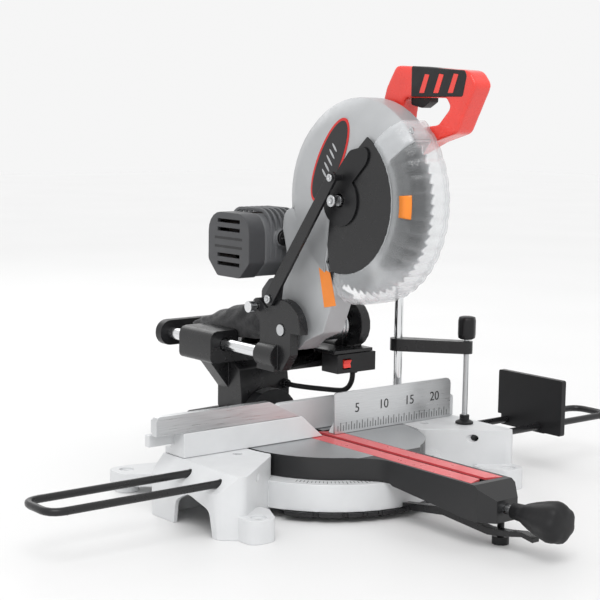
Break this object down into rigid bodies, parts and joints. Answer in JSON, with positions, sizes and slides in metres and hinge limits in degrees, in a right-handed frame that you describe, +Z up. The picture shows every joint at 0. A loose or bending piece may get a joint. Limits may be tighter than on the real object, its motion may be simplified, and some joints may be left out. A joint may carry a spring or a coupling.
{
  "type": "sliding miter saw",
  "caption": "Benchtop sliding compound miter saw: turntable base, twin rear rails, pivoting motor head, clear lower guard, red loop handle and dust bag.",
  "frame": {"origin": "on the turntable's axis, in the plane the base stands on", "axes": "+X to the operator's right, +Y away from the operator towards the rails, +Z up"},
  "size_m": [0.986, 0.754, 0.5876],
  "materials": {
    "aluminium": "brushed",
    "bag": "black woven cloth",
    "black_cast": "cast, painted satin black",
    "black_paint": "black satin paint",
    "black_plastic": "black moulded plastic",
    "blade_steel": "ground steel",
    "cast_grey_light": "cast, painted light grey",
    "casting_white": "cast, painted pale grey",
    "chrome": "bright plated",
    "clear": "clear polycarbonate",
    "copper": "steel core with copper windings",
    "dark_plastic": "darker grey plastic",
    "grey_plastic": "dark grey plastic",
    "pink_plastic": "pale red plastic",
    "red_plastic": "red-orange moulded plastic with a dark soft grip",
    "rubber": "black rubber",
    "steel": "bright steel",
    "table_metal": "machined top with black sides"
  },
  "bodies": {
    "base": {"base_casting": "casting_white", "detent_plate": "black_paint", "fence_casting": "casting_white", "ruler_plate": "aluminium", "clamp_post": "chrome", "cord_lead": "rubber", "cord_coil": "rubber", "cord_plug": "rubber"},
    "fence_slide_body": {"fence_slider": "aluminium"},
    "bar_left": {"support_bar_left": "black_paint"},
    "bar_right": {"support_bar_right": "black_paint"},
    "stop": {"stop_plate": "black_plastic"},
    "clamp_bracket": {"clamp_arm": "black_paint"},
    "clamp_foot": {"clamp_pad": "black_plastic"},
    "clamp_spindle": {"clamp_screw": "steel"},
    "turntable": {"turntable_casting": "table_metal", "turntable_pin": "steel", "kerf_plate_left": "pink_plastic", "kerf_plate_right": "pink_plastic", "bevel_bolt": "steel"},
    "miter_knob": {"miter_lock_screw": "steel", "miter_lock_knob": "rubber"},
    "detent": {"detent_lever": "black_paint"},
    "front_foot": {"foot_screw": "black_plastic"},
    "bevel_lever": {"bevel_lock_lever": "black_plastic"},
    "bevel_arm": {"bevel_housing": "black_cast"},
    "slide_knob": {"slide_lock_knob": "black_plastic"},
    "carriage": {"rail_left": "chrome", "rail_right": "chrome", "rail_cap": "black_plastic", "carriage_yoke": "black_cast", "pivot_shaft": "steel", "head_spring": "steel", "switch_box": "black_plastic", "cord_drop": "rubber"},
    "rocker": {"rocker_switch": "red_plastic"},
    "lock_pin": {"head_lock_pin": "chrome"},
    "head": {"head_casting": "cast_grey_light", "gear_case": "black_plastic", "motor_housing": "grey_plastic", "motor_end_cap": "dark_plastic", "drive_belt": "rubber", "handle": "red_plastic", "dust_chute": "dark_plastic", "dust_bag": "bag"},
    "rotor": {"motor_armature": "copper", "motor_pulley": "steel"},
    "arbor": {"arbor_pulley": "steel", "arbor_shaft": "steel", "blade": "blade_steel", "blade_flange_inner": "steel", "blade_flange_outer": "steel", "arbor_bolt": "steel"},
    "guard": {"lower_guard": "clear", "guard_plate": "black_paint", "guard_hub": "black_plastic"},
    "link": {"guard_link": "black_paint"},
    "trigger_body": {"trigger": "black_plastic"},
    "lock_off": {"lock_off_button": "black_plastic"}
  },
  "joints": [
    {"name": "fence_slide", "type": "slide", "parent": "base", "child": "fence_slide_body", "axis": [1, 0, 0], "range_m": [-0.075, 0]},
    {"name": "bar_left_slide", "type": "slide", "parent": "base", "child": "bar_left", "axis": [-1, 0, 0], "range_m": [-0.012, 0.03]},
    {"name": "bar_right_slide", "type": "slide", "parent": "base", "child": "bar_right", "axis": [1, 0, 0], "range_m": [-0.012, 0.03]},
    {"name": "stop_slide", "type": "slide", "parent": "bar_right", "child": "stop", "axis": [1, 0, 0], "range_m": [-0.045, 0.085]},
    {"name": "clamp_arm_lift", "type": "slide", "parent": "base", "child": "clamp_bracket", "axis": [0, 0, 1], "range_m": [0, 0.06]},
    {"name": "clamp_foot_lift", "type": "slide", "parent": "clamp_bracket", "child": "clamp_foot", "axis": [0, 0, 1], "range_m": [0, 0.02]},
    {"name": "clamp_screw_turn", "type": "hinge", "parent": "clamp_foot", "child": "clamp_spindle", "pos_m": [0.214, -0.052, 0.2], "axis": [0, 0, 1], "range_deg": [0, 3610]},
    {"name": "miter_turn", "type": "hinge", "parent": "base", "child": "turntable", "pos_m": [0, 0, 0.0502], "axis": [0, 0, 1], "range_deg": [-47, 47]},
    {"name": "miter_lock_turn", "type": "hinge", "parent": "turntable", "child": "miter_knob", "pos_m": [0, -0.39, 0.051], "axis": [0, 1, 0], "range_deg": [-180, 180]},
    {"name": "detent_press", "type": "hinge", "parent": "turntable", "child": "detent", "pos_m": [-0.004, -0.24, 0.048], "axis": [1, 0, 0], "range_deg": [0, 6], "stiffness_Nm_per_rad": 3, "springref_deg": -8.59},
    {"name": "foot_screw_lift", "type": "slide", "parent": "turntable", "child": "front_foot", "axis": [0, 0, 1], "range_m": [0, 0.003]},
    {"name": "bevel_lock_turn", "type": "hinge", "parent": "turntable", "child": "bevel_lever", "pos_m": [0, 0.21, 0.08], "axis": [0, 1, 0], "range_deg": [-25, 0]},
    {"name": "bevel_tilt", "type": "hinge", "parent": "turntable", "child": "bevel_arm", "pos_m": [0, 0.156, 0.08], "axis": [0, 1, 0], "range_deg": [-45, 0]},
    {"name": "slide_lock_turn", "type": "hinge", "parent": "bevel_arm", "child": "slide_knob", "pos_m": [0.1, 0.208, 0.189], "axis": [1, 0, 0], "range_deg": [-180, 180]},
    {"name": "carriage_slide", "type": "slide", "parent": "bevel_arm", "child": "carriage", "axis": [0, -1, 0], "range_m": [-0.085, 0.054], "deforming": ["cord_drop"]},
    {"name": "rocker_press", "type": "hinge", "parent": "carriage", "child": "rocker", "pos_m": [0.027, -0.003, 0.179], "axis": [1, 0, 0], "range_deg": [-10, 10]},
    {"name": "lock_pin_pull", "type": "slide", "parent": "carriage", "child": "lock_pin", "axis": [-1, 0, 0], "range_m": [0, 0.01]},
    {"name": "head_pivot", "type": "hinge", "parent": "carriage", "child": "head", "pos_m": [-0.02, 0.033, 0.229], "axis": [1, 0, 0], "range_deg": [0, 68], "stiffness_Nm_per_rad": 12, "springref_deg": -91.67},
    {"name": "motor_spin", "type": "hinge", "parent": "head", "child": "rotor", "pos_m": [-0.03, 0.116, 0.344], "axis": [1, 0, 0], "continuous": true},
    {"name": "arbor_spin", "type": "hinge", "parent": "head", "child": "arbor", "pos_m": [0, -0.073, 0.412], "axis": [1, 0, 0], "continuous": true},
    {"name": "guard_turn", "type": "hinge", "parent": "head", "child": "guard", "pos_m": [-0.046, -0.073, 0.412], "axis": [1, 0, 0], "range_deg": [-118, 0]},
    {"name": "link_turn", "type": "hinge", "parent": "carriage", "child": "link", "pos_m": [-0.064, 0.054, 0.27], "axis": [1, 0, 0], "range_deg": [0, 67]},
    {"name": "trigger_press", "type": "slide", "parent": "head", "child": "trigger_body", "axis": [0, 0, 1], "range_m": [0, 0.006], "stiffness_N_per_m": 300, "springref_m": -0.01},
    {"name": "lock_off_press", "type": "slide", "parent": "head", "child": "lock_off", "axis": [-1, 0, 0], "range_m": [0, 0.004], "stiffness_N_per_m": 250, "springref_m": -0.006}
  ],
  "couplings": [
    {"joint": "guard_turn", "follows": "head_pivot", "ratio": -1.71},
    {"joint": "link_turn", "follows": "head_pivot", "ratio": 0.976},
    {"joint": "motor_spin", "follows": "arbor_spin", "ratio": 2.65},
    {"joint": "clamp_screw_turn", "follows": "clamp_foot_lift", "rad_per_m": 3141.6}
  ]
}
